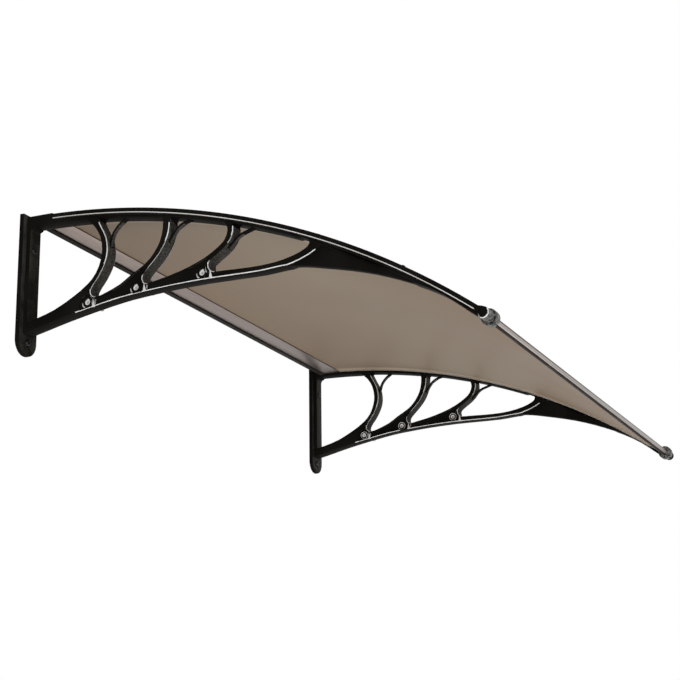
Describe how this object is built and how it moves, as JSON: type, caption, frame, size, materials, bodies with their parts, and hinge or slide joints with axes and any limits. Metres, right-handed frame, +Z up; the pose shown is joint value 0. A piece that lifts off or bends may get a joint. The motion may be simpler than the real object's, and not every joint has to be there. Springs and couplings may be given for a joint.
{
  "type": "door canopy",
  "caption": "Wall-mounted door canopy: an arched bronze polycarbonate sheet on black moulded side brackets, with aluminium profiles at the wall and along the front edge.",
  "frame": {"origin": "on the wall plane, at the middle of the rear profile's wall face, level with the top of the wall plates", "axes": "+X along the wall to the right as seen from the front, +Y into the wall, +Z up; the front edge is towards -Y"},
  "size_m": [1.225, 0.8443, 0.3045],
  "materials": {
    "black_plastic": "glossy moulded",
    "grey_plastic": "fine texture",
    "bronze_polycarbonate": "smooth tinted",
    "satin_aluminium": "satin anodised",
    "black_rubber": "matt",
    "zinc_steel": "zinc plated"
  },
  "bodies": {
    "root": {"canopy_sheet": "bronze_polycarbonate", "front_profile": "satin_aluminium", "front_gasket": "black_rubber", "rear_profile": "satin_aluminium", "rear_gasket": "black_rubber", "rear_seal": "black_rubber", "left_bracket": "black_plastic", "right_bracket": "black_plastic", "left_cover_strip": "black_plastic", "right_cover_strip": "black_plastic", "left_front_collar": "grey_plastic", "right_front_collar": "grey_plastic", "left_front_cap": "black_plastic", "right_front_cap": "black_plastic", "left_upper_wall_screw": "zinc_steel", "left_lower_wall_screw": "zinc_steel", "right_upper_wall_screw": "zinc_steel", "right_lower_wall_screw": "zinc_steel", "left_strip_screw_1": "zinc_steel", "left_strip_screw_2": "zinc_steel", "left_strip_screw_3": "zinc_steel", "left_strip_screw_4": "zinc_steel", "left_strip_screw_5": "zinc_steel", "right_strip_screw_1": "zinc_steel", "right_strip_screw_2": "zinc_steel", "right_strip_screw_3": "zinc_steel", "right_strip_screw_4": "zinc_steel", "right_strip_screw_5": "zinc_steel"}
  },
  "joints": []
}
